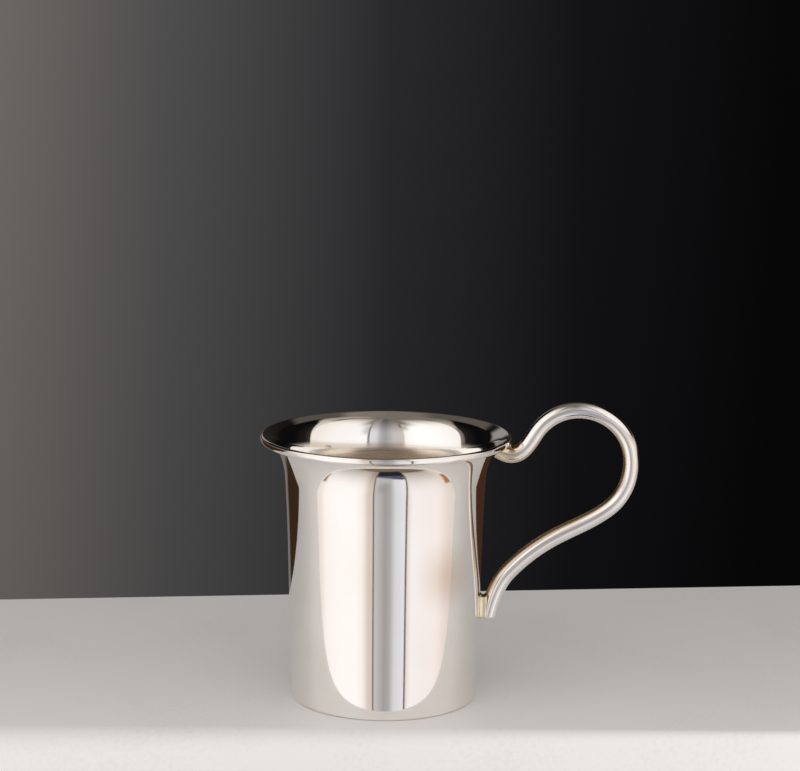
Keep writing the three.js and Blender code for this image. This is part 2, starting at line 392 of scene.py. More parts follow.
# %% [markdown]
# ## The body
# The sheet keeps one thickness from base to lip, so its inside is the outside moved inwards along
# its own normals. The lip's cut edge is rounded over, and the foot is rounded where it stands.
# Faces that look at the axis, below the lip's edge, take the silver of the inside.

# %% Body wall
lip_middle = lip_end - lip_out * (WALL / 2)
bore = BASE_RADIUS - WALL
seam_top = BASE_THICKNESS + BASE_SEAM
foot_middle = Vector((BASE_RADIUS - BASE_ROUNDING, BASE_ROUNDING))
foot_arc = arc(foot_middle, BASE_ROUNDING, -90, 0, steps=8)
lip_arc = arc(lip_middle, WALL / 2, -LIP_LEAN, 180 - LIP_LEAN, steps=14)
wall_profile = (
    foot_arc[:-1]
    + outside[:-1]
    + lip_arc
    + [point for point in reversed(inside[:-1]) if point.y > seam_top]
    + [Vector((bore, seam_top)), Vector((bore, 0))]
)
body = make_piece("polished_body", turn(wall_profile), "body_wall", SILVER)
body.data.materials.append(inside_silver())
for face in body.data.polygons:
    outwards = face.center.x * face.normal.x + face.center.y * face.normal.y
    if outwards < 0 and face.center.z < lip_middle.y * MM:
        face.material_index = 1

# %% [markdown]
# ## The wire
# A half-round wire is soldered under the lip. It stiffens the thin edge and is kind to the mouth.
# Its flat lies on the land and its round side faces out and down. Solder fills the groove between
# the wire and the sheet's edge, and after polishing the two are one bead. So the outline goes up
# the wire's round, on to a smaller round over the edge, and dips under the sheet's inside. The
# bridge is the angle at which it passes from one round to the other.

# %% Mouth wire
TUCK_LENGTH = 0.3
TUCK_DEPTH = 0.02
bridge = math.degrees(
    math.atan2(to_bead_top.y, to_bead_top.x)
    - math.acos((WIRE_RADIUS - BEAD_ROUNDING) / to_bead_top.length)
)
wire_round = arc(wire_centre, WIRE_RADIUS, -90 - LIP_LEAN, bridge, steps=22)
edge_round = arc(wire_centre + to_bead_top, BEAD_ROUNDING, bridge, 180 - LIP_LEAN, steps=16)
tucked = edge_round[-1] - lip_run * TUCK_LENGTH + lip_out * TUCK_DEPTH
wire_profile = wire_round + edge_round + [tucked, tucked + lip_out * (WALL / 2)]
print("bead leaves the wire at", round(bridge, 1), "degrees")
make_piece("lip_wire", turn(wire_profile), "mouth_wire", SILVER)

# %% [markdown]
# ## Silver solder
# Hard solder is silver with more copper and some zinc in it, so it is yellower than the sheet. It
# freezes with a skin that is less smooth than polished metal, with small pits. Brown shade is
# painted into the corners under the wire and where the lug's top meets the wall.

# %% Hard solder
# Painted shade at three places in the notch under the lip, and at one where the lug's top meets
# the wall
SHADED_CORNERS = ((34.8, -1, 70.9), (36, -1, 71.1), (37.3, -1, 71.7), (28.3, 0, 29.6))
CORNER_SHADE_CORE = 0.7
CORNER_SHADE_REACH = 2.3
CORNER_SHADE_STRENGTH = 0.95


def hard_solder():
    material, tree, place = new_material("hard_solder")
    # The metals part a little as solder freezes, in patches about 1.6 mm across
    pool = add_node(tree, "TexNoise", {"Vector": place, "Scale": 1 / (1.6 * MM), "Detail": 3.0})
    tint = add_node(
        tree, "ValToRGB", {"Fac": pool}, stops=[(0.3, "E3D2A6"), (0.5, "F1E6C8"), (0.75, "F8F2E2")]
    )
    # Brown shade painted into those corners
    corner_shade = 0.0
    for corner in SHADED_CORNERS:
        spot = soft_spot(tree, place, corner, CORNER_SHADE_CORE, CORNER_SHADE_REACH)
        corner_shade = add_node(tree, "Math", {0: corner_shade, 1: spot}, operation="MAXIMUM")
    corner_shade = add_node(tree, "Math", {0: corner_shade, 1: CORNER_SHADE_STRENGTH}, operation="MULTIPLY")
    tint = add_node(tree, "Mix", {"Factor": corner_shade, "A": tint, "B": "8A5A28"}, data_type="RGBA")
    pits = add_node(tree, "TexVoronoi", {"Vector": place, "Scale": 1 / (0.5 * MM)})
    pit_depth = add_node(tree, "MapRange", {"Value": pits, "From Max": 0.25})
    skin_height = add_node(tree, "Math", {0: pool, 1: pit_depth}, operation="ADD")
    bump = add_node(tree, "Bump", {"Height": skin_height, "Strength": 0.6, "Distance": 0.03 * MM})
    haze = add_node(tree, "MapRange", {"Value": pool, "To Min": 0.12, "To Max": 0.34})
    return finish_material(material, tint, haze, bump)


SOLDER = hard_solder()

# %% [markdown]
# Molten solder pulls itself into a corner as a hollow curve. The seam under the wire is a thin
# line of it, and so is the seam round the base inside the cup.

# %% Solder seams
SEAM_CLIMB = 22.0
SEAM_STEPS = 8
on_wire = wire_centre + headed(-90 - LIP_LEAN + SEAM_CLIMB) * WIRE_RADIUS
under_wire = []
for i in range(SEAM_STEPS + 1):
    t = i / SEAM_STEPS
    under_wire.append(land_start * (1 - t) ** 2 + wire_foot * (2 * t * (1 - t)) + on_wire * t ** 2)
under_wire.append(wire_foot)
make_piece("wire_seam", turn(under_wire), "mouth_wire_solder", SOLDER)

base_hollow = arc(Vector((bore - BASE_SEAM, seam_top)), BASE_SEAM, 0, -90, steps=10)
base_fillet = [Vector((bore, BASE_THICKNESS))] + base_hollow
make_piece("base_seam", turn(base_fillet), "base_seam_solder", SOLDER)

# %% [markdown]
# ## The base
# The base is a flat disc let into the foot. Standing and sliding has worn it: fine scratches cross
# each other in every direction, so it is duller than the body. Two stretched noises, turned
# against each other, give crossing scratches.

# %% Worn base silver
SCRATCH_HEADINGS = (0.4, 1.9)


def base_silver():
    material, tree, place = new_material("base_silver")
    scratches = []
    for turned_by in SCRATCH_HEADINGS:
        # Scratches about 11 mm long and 0.3 mm apart
        stretch = {"Vector": place, "Rotation": (0, 0, turned_by), "Scale": (90, 3000, 90)}
        turned = add_node(tree, "Mapping", stretch)
        scratch = {"Vector": turned, "Scale": 1.0, "Detail": 3.0}
        scratches.append(add_node(tree, "TexNoise", scratch))
    crossed = add_node(tree, "Math", {0: scratches[0], 1: scratches[1]}, operation="MAXIMUM")
    haze = add_node(
        tree, "MapRange",
        {"Value": crossed, "From Min": 0.45, "From Max": 0.8, "To Min": 0.07, "To Max": 0.26},
    )
    tint = add_node(tree, "ValToRGB", {"Fac": crossed}, stops=[(0.4, "F6F2EC"), (0.85, "E9E2D6")])
    bump = add_node(
        tree, "Bump", {"Height": crossed, "Strength": 0.4, "Distance": FINISH_DEPTH * MM}
    )
    return finish_material(material, tint, haze, bump)


# %% Base disc
DISC_RINGS = 12
ring_radii = [bore * i / DISC_RINGS for i in range(DISC_RINGS + 1)]
disc_profile = [Vector((radius, 0)) for radius in ring_radii]
disc_profile += [Vector((radius, BASE_THICKNESS)) for radius in reversed(ring_radii)]
disc_shape = turn(disc_profile, closed=False)
disc = make_piece("base_plate", disc_shape, "base_disc", base_silver())
disc.data.set_sharp_from_angle(angle=SHARP_ANGLE)

# %% [markdown]
# ## The handle's rod
# The handle is one round rod, bent by hand over a stake. Its path is a row of bends, each with a
# place and a heading, joined by curves that come as near to circular arcs as their ends allow.
# Bending and filing leave the rod a little thicker in its leg than round the loop, so the radius
# changes slowly along it. The notch is what is left between the wire and the rod tucked under it.

# %% The rod's path
ROD_RADIUS = 2.33
FOOT_HEIGHT = 22.5
FILED_DEPTH = 1.9
LUG_THICKNESS = 1.95
LUG_WIDTH = 4.4
LUG_HEIGHT = 6.8
NOTCH = 1.2


def side_radius(height):
    """The radius of the wall's outside at a height on its side."""
    return cubic(side, (height - side_start.y) / (neck.y - side_start.y))[0].x


lug_face = side_radius(FOOT_HEIGHT) + LUG_THICKNESS
foot_x = lug_face + ROD_RADIUS - FILED_DEPTH
tuck_height = wire_centre.y - WIRE_RADIUS - NOTCH - ROD_RADIUS
# Each bend: across, height, heading in degrees, and the rod's radius there
BENDS = (
    (foot_x, FOOT_HEIGHT, 78, 2.36),
    (foot_x + 5.7, FOOT_HEIGHT + 13.3, 47, 2.38),
    (foot_x + 17.9, FOOT_HEIGHT + 23.0, 30, 2.36),
    (62.44, 54.05, 38, 2.26),
    (68.34, 70.15, 100, 2.17),
    (54.24, 82.05, 178, 2.25),
    (42.04, 75.75, 237, 2.27),
    (34.94, tuck_height, 178, 2.27),
    (31.14, tuck_height + 1.2, 155, 2.1),
)


def bend_curve(start, end):
    """The cubic curve between two bends."""
    a, b = Vector(start[:2]), Vector(end[:2])
    turn_by = abs(math.radians(end[2] - start[2]))
    pull = (b - a).length * (4 / 3) * math.tan(turn_by / 4) / (2 * math.sin(turn_by / 2))
    return a, a + headed(start[2]) * pull, b - headed(end[2]) * pull, b


STEP_LENGTH = 0.25
CURVE_OVER_CHORD = 1.1
stations = []
for start, end in zip(BENDS, BENDS[1:]):
    curve = bend_curve(start, end)
    count = round((curve[3] - curve[0]).length * CURVE_OVER_CHORD / STEP_LENGTH)
    for i in range(count):
        t = i / count
        point, run = cubic(curve, t)
        ease = t * t * (3 - 2 * t)
        stations.append((point, run, start[3] + (end[3] - start[3]) * ease))
stations.append((*cubic(curve, 1), BENDS[-1][3]))
rod_length = sum((b[0] - a[0]).length for a, b in zip(stations, stations[1:]))
print("rod:", len(stations), "stations,", round(rod_length, 1), "mm long")

# %% [markdown]
# The rod is swept as rings along that path. Two ends need fitting. At the foot the rod is filed
# flat where it lies against the lug, and cut level. Under the lip its end is filed to the wall, so
# each line along the rod stops where it meets the wall.

# %% Handle rod
ROD_SIDES = 56
WALL_CLEARANCE = 0.02
FLAT_ABOVE_LUG = 1.5
# The cut foot's rings: how far each stands above the cut, and how far inside the rod's round
CUT_RINGS = ((0.0, 0.6), (0.0, 0.3), (0.06, 0.12), (0.16, 0.04), (0.3, 0.0))
wall_radii = [(point.y, point.x) for point in wall_line(WALL_CLEARANCE)]


def read_line(line, place):
    """The value at a place on a line of (place, value) points, or at its end past that."""
    for (low, low_value), (high, high_value) in zip(line, line[1:]):
        if low <= place <= high:
            return low_value + (high_value - low_value) * (place - low) / (high - low)
    return line[-1][1]


def rod_ring(station):
    """The rod's round at one station."""
    point, run, radius = station
    across = Vector((-run.y, run.x))
    ring = []
    for k in range(ROD_SIDES):
        around = 2 * math.pi * k / ROD_SIDES
        out = point + across * (radius * math.cos(around))
        ring.append(Vector((out.x, radius * math.sin(around), out.y)))
    return ring


def sweep_rod():
    """The rod's rings from foot to tip, cut and filed as they are on the cup."""
    rings = []
    # The foot is cut level, and its edge is broken with a file
    foot = Vector((foot_x, 0, FOOT_HEIGHT))
    for drop, shrink in CUT_RINGS:
        ring = []
        for corner in rod_ring(stations[0]):
            flat = Vector((corner.x, corner.y, FOOT_HEIGHT)) - foot
            flat.length -= shrink
            ring.append(Vector((foot.x + flat.x, flat.y, FOOT_HEIGHT + drop)))
        rings.append(ring)
    lowest = FOOT_HEIGHT + CUT_RINGS[-1][0]
    for station in stations[1:]:
        rings.append([Vector((p.x, p.y, max(p.z, lowest))) for p in rod_ring(station)])
    # Filed flat against the lug
    flat_top = FOOT_HEIGHT + LUG_HEIGHT + FLAT_ABOVE_LUG
    for ring in rings:
        for p in ring:
            if p.z < flat_top and p.x < lug_face:
                p.x = lug_face
    # Filed to the wall under the lip
    for k in range(ROD_SIDES):
        stopped = None
        for ring in rings[len(rings) // 2:]:
            p = ring[k]
            if stopped is None and math.hypot(p.x, p.y) < read_line(wall_radii, p.z):
                stopped = p.copy()
            if stopped is not None:
                ring[k] = stopped
    return rings


def skin(rings, sides):
    """Quads between rings, and a fan over each end."""
    vertices = [tuple(p) for ring in rings for p in ring]
    faces = []
    for r in range(len(rings) - 1):
        for k in range(sides):
            n = (k + 1) % sides
            faces.append([r * sides + k, r * sides + n, (r + 1) * sides + n, (r + 1) * sides + k])
    for ring, first in ((rings[0], 0), (rings[-1], (len(rings) - 1) * sides)):
        vertices.append(tuple(sum(ring, Vector()) / sides))
        for k in range(sides):
            faces.append([len(vertices) - 1, first + (k + 1) % sides, first + k])
    return vertices, faces


# %% [markdown]
# The rod was drawn, bent and then polished by hand along its length. Its mirror is less even than
# the body's: small flats and dents bend the reflections, and fine lines run along it. A noise can
# only follow the bends if each point knows how far along the rod it is and where round it, so that
# place is kept in the mesh. A brown reflection is painted on the inside of the bends. It is a
# little hazier and fades out towards the top of the loop. Solder has washed over the tucked end
# and left it a little yellow.

# %% Rod silver
# The painted brown reflection: where it starts and where it is full across the rod, its strength,
# the haze it adds, and the heights at which it fades out
BROWN_REFLECTION_START = 1.2
BROWN_REFLECTION_FULL = 2.0
BROWN_REFLECTION_STRENGTH = 0.9
BROWN_REFLECTION_HAZE = 0.24
REFLECTION_GONE_ABOVE = 79.0
REFLECTION_FULL_BELOW = 72.0
ROD_TIP = (33.4, -1.0, 70.4)
WASH_CORE = 2.6
WASH_REACH = 5.0


def rod_silver():
    material, tree, place = new_material("rod_silver")
    on_rod = add_node(tree, "Attribute", attribute_name="rod_place", output="Vector")
    dents = add_node(tree, "TexNoise", {"Vector": place, "Scale": 1 / (5 * MM), "Detail": 0.5})
    # Lines about 0.7 mm apart and 12 mm long
    drawn = add_node(
        tree, "Mapping",
        {"Vector": on_rod, "Scale": (1 / (0.7 * MM), 1 / (0.7 * MM), 1 / (12 * MM))},
    )
    lines = add_node(tree, "TexNoise", {"Vector": drawn, "Scale": 1.0, "Detail": 0.0})
    bump = add_node(tree, "Bump", {"Height": dents, "Distance": 0.012 * MM})
    bump = add_node(tree, "Bump", {"Height": lines, "Distance": 0.0014 * MM, "Normal": bump})
    tint = add_node(tree, "ValToRGB", {"Fac": dents}, stops=[(0.3, "F8F5F2"), (0.75, "F2ECE6")])
    # A brown reflection painted on the inside of the bends, fading out towards the top of the loop
    inwards = add_node(tree, "SeparateXYZ", {"Vector": on_rod}, output="X")
    painted_reflection = add_node(
        tree, "MapRange",
        {
            "Value": inwards, "From Min": BROWN_REFLECTION_START * MM, "From Max": BROWN_REFLECTION_FULL * MM,
            "To Max": BROWN_REFLECTION_STRENGTH,
        },
        interpolation_type="SMOOTHSTEP",
    )
    height = add_node(tree, "SeparateXYZ", {"Vector": place}, output="Z")
    below_loop_top = add_node(
        tree, "MapRange",
        {"Value": height, "From Min": REFLECTION_GONE_ABOVE * MM, "From Max": REFLECTION_FULL_BELOW * MM},
        interpolation_type="SMOOTHSTEP",
    )
    painted_reflection = add_node(tree, "Math", {0: painted_reflection, 1: below_loop_top}, operation="MULTIPLY")
    tint = add_node(tree, "Mix", {"Factor": painted_reflection, "A": tint, "B": "DDBD96"}, data_type="RGBA")
    # The lines are a little hazy, and the painted brown reflection more so
    haze = add_node(
        tree, "MapRange",
        {"Value": lines, "From Min": 0.3, "From Max": 0.7, "To Min": 0.07, "To Max": 0.13},
    )
    haze = add_node(tree, "Math", {0: painted_reflection, 1: BROWN_REFLECTION_HAZE, 2: haze}, operation="MULTIPLY_ADD")
    wash = soft_spot(tree, place, ROD_TIP, WASH_CORE, WASH_REACH)
    tint = add_node(tree, "Mix", {"Factor": wash, "A": tint, "B": "F1E5CA"}, data_type="RGBA")
    return finish_material(material, tint, haze, bump)


rod_shape = skin(sweep_rod(), ROD_SIDES)
rod = make_piece("bent_handle", rod_shape, "handle_rod", rod_silver())

# %% Each point's place on the rod
walked = [0.0]
for here, there in zip(stations, stations[1:]):
    walked.append(walked[-1] + (there[0] - here[0]).length)
station_finder = KDTree(len(stations))
for i, (point, _, _) in enumerate(stations):
    station_finder.insert((point.x, 0, point.y), i)
station_finder.balance()
rod_place = rod.data.attributes.new("rod_place", "FLOAT_VECTOR", "POINT")
for vertex in rod.data.vertices:
    at = vertex.co / MM
    _, i, _ = station_finder.find((at.x, 0, at.z))
    point, run, radius = stations[i]
    off = (at.x - point.x) * -run.y + (at.z - point.y) * run.x
    spread = Vector((off, at.y)).normalized() * radius
    rod_place.data[vertex.index].vector = Vector((spread.x, spread.y, walked[i])) * MM
print("rod places:", len(rod_place.data))

# %% [markdown]
# ## The lug at the foot
# The rod's foot doesn't touch the wall. A short block stands between them, flooded with solder,
# which has pulled hollow on each side and sunk in the middle of its top.

# %% Lower lug
LUG_STEPS_UP = 24
LUG_STEPS_ROUND = 12
SIDE_HOLLOW = 0.35
TOP_HOLLOW = 0.7
LUG_BITE = 0.05
LUG_EDGE = 0.5
LUG_EDGE_TUCK = 0.35


def lug_ring(height, tuck):
    """One level ring of the lug: in along one side to the wall, and back along the other."""
    # The top sinks in the middle, and the upper half of the lug sinks with it
    sink = TOP_HOLLOW * max(0.0, 2 * (height - FOOT_HEIGHT) / LUG_HEIGHT - 1)
    ring = []
    for face in (-1, 1):
        for i in range(LUG_STEPS_ROUND + 1):
            across = i / LUG_STEPS_ROUND
            across = 1 - across if face < 0 else across
            hollow = math.sin(math.pi * across)
            half = LUG_WIDTH / 2 - tuck - SIDE_HOLLOW * hollow
            wall_x = math.sqrt(read_line(wall_radii, height) ** 2 - half ** 2)
            x = wall_x + (lug_face + LUG_BITE - wall_x) * across
            ring.append(Vector((x, face * half, height - sink * hollow)))
    return ring


lug_rings = []
for i in range(LUG_STEPS_UP + 1):
    height = FOOT_HEIGHT + LUG_HEIGHT * i / LUG_STEPS_UP
    edge = min(height - FOOT_HEIGHT, FOOT_HEIGHT + LUG_HEIGHT - height)
    tuck = LUG_EDGE_TUCK * (1 - min(1.0, edge / LUG_EDGE)) ** 2
    lug_rings.append(lug_ring(height, tuck))
lug_shape = skin(lug_rings, len(lug_rings[0]))
make_piece("solder_lug", lug_shape, "lower_handle_lug", SOLDER)

# %% [markdown]
# ## The solder under the lip
# The rod's upper end is tucked under the wire, and solder has run into the notch between them. It
# fills the corner under the wire and lies as a thin skin over the rod's top, so it is a saddle: it
# follows the rod's round across, and sweeps up to the wire and up the bend along.

# %% Upper solder
POOL_STEPS = 34
POOL_SIDES = 24
POOL_START = land_start.x - 0.3
POOL_END = MOUTH_RADIUS + 2.9
POOL_HALF_WIDTH = 1.75
POOL_NARROWING = 0.35
POOL_DEPTH = 0.5
# The skin over the rod, and the last shares of the way, where it thins and its tip rounds off
SKIN = 0.12
THIN_SHARE = 0.1
TIP_SHARE = 0.2
TIP_WIDTH = 0.1414
# The climb up the wire: where it leaves the wire, how far it reaches, and how suddenly it falls
CLIMB_START = MOUTH_RADIUS - 0.45
CLIMB_REACH = 0.42
CLIMB_POWER = 1.4
# Where it climbs this high, its top follows only this much of the rod's round
STEEP_CLIMB = 0.5
STEEP_ROUND = 0.6
# The rod's top in the notch, from its tip outwards, over the last quarter of the rod
crest_line = []
for point, run, radius in reversed(stations[len(stations) * 3 // 4:]):
    crest_line.append(point - Vector((-run.y, run.x)) * radius)


def pool_ring(share):
    """The pool's section, at a share of the way from the wall to its tip on the rod."""
    across = POOL_START + (POOL_END - POOL_START) * share
    crest = read_line(crest_line, across)
    past_wire = max(0.0, across - CLIMB_START)
    climb = (wire_centre.y - crest) * math.exp(-((past_wire / CLIMB_REACH) ** CLIMB_POWER))
    high = crest + max(SKIN * min(1.0, (1 - share) / THIN_SHARE), climb)
    half = POOL_HALF_WIDTH - POOL_NARROWING * share
    into_tip = max(0.0, 1 - (1 - share) / TIP_SHARE)
    half *= max(TIP_WIDTH, math.sqrt(1 - into_tip ** 2))
    ring = []
    for k in range(POOL_SIDES):
        angle = 2 * math.pi * k / POOL_SIDES
        y = half * math.cos(angle)
        fall = ROD_RADIUS - math.sqrt(ROD_RADIUS ** 2 - y ** 2)
        top = high - fall * (1 if climb < STEEP_CLIMB else STEEP_ROUND)
        bottom = crest - fall - POOL_DEPTH
        ring.append(Vector((across, y, (top + bottom) / 2 + (top - bottom) / 2 * math.sin(angle))))
    return ring


pool_rings = [pool_ring(i / POOL_STEPS) for i in range(POOL_STEPS + 1)]
pool_shape = skin(pool_rings, POOL_SIDES)
make_piece("solder_pool", pool_shape, "upper_handle_solder", SOLDER)

# %% [markdown]
# ## The plinth
# The cup stands on a plain plinth, painted a warm off-white, with a rounded front edge. Matt paint
# still has a soft sheen when it is seen at a grazing angle, and the cup shows that sheen low on
# its sides, so the paint is a little glossy. The front edge is rounded more to the left than to
# the right, and neither edge lies quite square to the camera.

# %% Plinth paint
PAINT_ROUGHNESS = 0.45


def plinth_paint():
    material, tree, place = new_material("plinth_paint")
    grain = add_node(tree, "TexNoise", {"Vector": place, "Scale": 1 / (1.2 * MM), "Detail": 4.0})
    cloud = add_node(tree, "TexNoise", {"Vector": place, "Scale": 1 / (45 * MM), "Detail": 2.0})
    both = add_node(tree, "Math", {0: grain, 1: cloud}, operation="ADD")
    tint = add_node(tree, "ValToRGB", {"Fac": both}, stops=[(0.7, "EFEBE8"), (1.0, "F4F1EE")])
    bump = add_node(tree, "Bump", {"Height": grain, "Strength": 0.3, "Distance": 0.02 * MM})
    return finish_material(material, tint, PAINT_ROUGHNESS, bump, metallic=0.0)


# %% Plinth
PLINTH_HALF_LENGTH = 480.0
PLINTH_EDGE = -33.2
PLINTH_EDGE_SKEW = 0.0127
PLINTH_ROUNDING = 5.2
PLINTH_ROUNDING_CHANGE = -0.028
SHARPEST_ROUNDING = 2.0
SOFTEST_ROUNDING = 8.5
ROUNDING_AHEAD = 0.66
PLINTH_BACK = 109.5
PLINTH_BACK_SKEW = 0.098
PLINTH_BEVEL = 1.0
PLINTH_DEPTH = 70.0
PLINTH_STEPS = 24


def plinth_section(x):
    """The plinth's outline from its front foot, over the rounded edge, to its back foot."""
    back = PLINTH_BACK + PLINTH_BACK_SKEW * x
    rounding = PLINTH_ROUNDING + PLINTH_ROUNDING_CHANGE * x
    rounding = min(SOFTEST_ROUNDING, max(SHARPEST_ROUNDING, rounding))
    front = PLINTH_EDGE + PLINTH_EDGE_SKEW * x - ROUNDING_AHEAD * rounding
    edge = arc(Vector((front + rounding, -rounding)), rounding, 180, 90, steps=16)
    line = [Vector((front, -PLINTH_DEPTH))] + edge
    for point in ((back - PLINTH_BEVEL, 0), (back, -PLINTH_BEVEL), (back, -PLINTH_DEPTH)):
        line.append(Vector(point))
    return [Vector((x, point.x, point.y)) for point in line]


sections = []
for i in range(PLINTH_STEPS + 1):
    sections.append(plinth_section(PLINTH_HALF_LENGTH * (2 * i / PLINTH_STEPS - 1)))
plinth_mesh = make_mesh("plinth", skin(sections, len(sections[0])), plinth_paint())
plinth_mesh.set_sharp_from_angle(angle=SHARP_ANGLE)
plinth = bpy.data.objects.new("plinth", plinth_mesh)
scene.collection.objects.link(plinth)
print("plinth", len(plinth_mesh.polygons), "faces")

# %% [markdown]
# ## The studio
# A mirror has almost no look of its own: it shows the room. The room here is what a photographer
# puts round silver: two large white cards in front, left and right, with the gap for the lens
# between them, a dark backdrop, a brown floor below and a dim ceiling. All of it is painted in
# the world by direction, because it is far away compared with the cup's size. Only mirror rays see
# the cards. The camera sees the backdrop, and matt surfaces get a plain grey fill.
#
# A direction is two angles in degrees. The bearing is 0 straight to the front and grows to the
# right, and the rise is 0 at the horizon. Colour ramps run from 0 to 1, so each angle that one of
# them follows is also made into a share of its span.

# %% Directions of the studio
LIT_SIDE_LEAN = -0.11
CLOTH_LEAN = -0.04

world = bpy.data.worlds.new("studio")
scene.world = world
world.use_nodes = True
world.cycles.sampling_method = "NONE"
sky = world.node_tree
sky.nodes.clear()

direction = add_node(sky, "TexCoord", output="Generated")
rightwards, backwards, upwards = (
    add_node(sky, "SeparateXYZ", {"Vector": direction}, output=axis) for axis in "XYZ"
)
forwards = add_node(sky, "Math", {0: backwards, 1: -1.0}, operation="MULTIPLY")
angles = []
for operation, sides in (("ARCTAN2", {0: rightwards, 1: forwards}), ("ARCSINE", {0: upwards})):
    radians = add_node(sky, "Math", sides, operation=operation)
    angles.append(add_node(sky, "Math", {0: radians, 1: 180 / math.pi}, operation="MULTIPLY"))
bearing, rise = angles
off_front = add_node(sky, "Math", {0: bearing}, operation="ABSOLUTE")
lit_side, leaning_rise = (
    add_node(sky, "Math", {0: bearing, 1: lean, 2: angle}, operation="MULTIPLY_ADD")
    for lean, angle in ((LIT_SIDE_LEAN, off_front), (CLOTH_LEAN, rise))
)
height_share, cloth_share, off_front_share, ceiling_share, bearing_share = (
    add_node(sky, "MapRange", {"Value": angle, "From Min": low, "From Max": high})
    for angle, low, high in (
        (rise, -90.0, 90.0),
        (leaning_rise, -90.0, 90.0),
        (off_front, 90.0, 180.0),
        (lit_side, 90.0, 180.0),
        (bearing, -100.0, 100.0),
    )
)
print("angles and shares:", len(sky.nodes), "nodes")

# %% [markdown]
# What lies behind everything else is a band of tones from straight down to the horizon: brown
# floor, then the dark behind the plinth. Above it is the ceiling, lit by the cloth in front and
# dimmer towards the back, a little more so on the left. Otherwise left and right are the same, so
# the ceiling's ramp follows the angle off the front.

# %% Floor, back of the room and ceiling
low_room = add_node(
    sky, "ValToRGB", {"Fac": height_share},
    stops=[(0.1, "7A6A58"), (0.17, "44342A"), (0.38, "3A281D"), (0.5, "2E2017")],
)
ceiling = add_node(
    sky, "ValToRGB", {"Fac": ceiling_share},
    stops=[
        (0.05, "D4CCC3"), (0.2, "BFB5AB"), (0.38, "A1978D"), (0.5, "8E847B"), (0.6, "7E756C"),
        (1.0, "746C65"),
    ],
)
HORIZON_BLUR = 6.0
above = add_node(
    sky, "MapRange", {"Value": rise, "From Min": -HORIZON_BLUR, "From Max": HORIZON_BLUR},
    interpolation_type="SMOOTHSTEP",
)
room = add_node(sky, "Mix", {"Factor": above, "A": low_room, "B": ceiling}, data_type="RGBA")
print("floor and ceiling:", len(sky.nodes), "nodes")

# %% [markdown]
# Each flat of the studio is a window in bearing and rise, painted over what is behind it, with
# soft edges. An edge may also lean, because nobody hangs a cloth quite straight. A flat is written
# as its colour, its bearings, its rises, how soft its sides and its ends are, and any leans of its
# left, right, lower and upper edge.
#
# The ceiling's own flats come first. It is dim straight overhead, and the dim part reaches further
# down at each side.

# %% Hanging a flat
def hang(below, colour, bearings, rises, soft, leans=(0, 0, 0, 0)):
    """Paints a colour between two bearings and two rises, over what is below it."""
    edges = (
        (bearing, rise, bearings[0], soft[0], 0.0),
        (bearing, rise, bearings[1], soft[0], 1.0),
        (rise, bearing, rises[0], soft[1], 0.0),
        (rise, bearing, rises[1], soft[1], 1.0),
    )
    mask = 1.0
    for (value, other, edge, softness, near), lean in zip(edges, leans):
        if lean:
            value = add_node(sky, "Math", {0: other, 1: lean, 2: value}, operation="MULTIPLY_ADD")
        window = {"Value": value, "From Min": edge - softness, "From Max": edge + softness}
        ramp = add_node(
            sky, "MapRange", {**window, "To Min": near, "To Max": 1.0 - near},
            interpolation_type="SMOOTHSTEP",
        )
        mask = add_node(sky, "Math", {0: mask, 1: ramp}, operation="MULTIPLY")
    return add_node(sky, "Mix", {"Factor": mask, "A": below, "B": colour}, data_type="RGBA")


def hang_all(below, flats):
    """Hangs one flat over the other."""
    for flat in flats:
        below = hang(below, *flat)
    return below


room = hang_all(room, (
    ("756D67", (-190, 190), (79, 100), (1, 8)),
    ("746E69", (52, 122), (62, 90), (6, 5)),
    ("746E69", (-132, -52), (64, 90), (6, 5)),
))
print("room:", len(sky.nodes), "nodes")

# %% [markdown]
# The white cloth in front of the cup reaches from low on the left, over the lens, to low on the
# right. It is brightest level with the lamps behind it and fades towards the top and the floor.
# One ramp gives its brightness by rise and another its tint by bearing. The two are multiplied,
# and the cloth's level makes it a little brighter than white paint in the same light.

# %% White cloth
CLOTH_LEVEL = 1.1
CLOTH_WINDOW = ((-98.5, 99), (-68.8, 84), (2.5, 2.5), (0, 0, -0.07, 0))
cloth_tones = add_node(
    sky, "ValToRGB", {"Fac": bearing_share},
    stops=[
        (0.02, "F2EEEA"), (0.12, "F9F7F7"), (0.22, "FFFFFF"), (0.32, "FFFFFF"), (0.41, "F2ECE7"),
        (0.64, "F7F6F7"), (0.75, "F5F2F3"), (0.83, "F5F0EE"), (0.96, "ECE4DE"),
    ],
)
cloth_fade = add_node(
    sky, "ValToRGB", {"Fac": cloth_share},
    stops=[
        (0.122, "A89F96"), (0.155, "BCB5AE"), (0.2, "CFC9C4"), (0.25, "E4E0DD"), (0.3, "F4F0EE"),
        (0.34, "F9F5F4"), (0.5, "FBF8F6"), (0.54, "DDD8D3"), (0.565, "E2DEDA"), (0.59, "FFFFFF"),
        (0.8, "FCFAF8"), (0.833, "F2EFEB"), (0.85, "EAE6E1"), (0.872, "DAD5CF"),
        (0.894, "C2BCB5"), (0.917, "A7A099"), (0.939, "847E78"), (0.965, "67635E"),
    ],
)
cloth = add_node(
    sky, "Mix", {"Factor": 1.0, "A": cloth_tones, "B": cloth_fade},
    data_type="RGBA", blend_type="MULTIPLY",
)
cloth = add_node(sky, "VectorMath", {0: cloth, 3: CLOTH_LEVEL}, operation="SCALE")
studio = hang(room, cloth, *CLOTH_WINDOW)
print("cloth hung:", len(sky.nodes), "nodes")

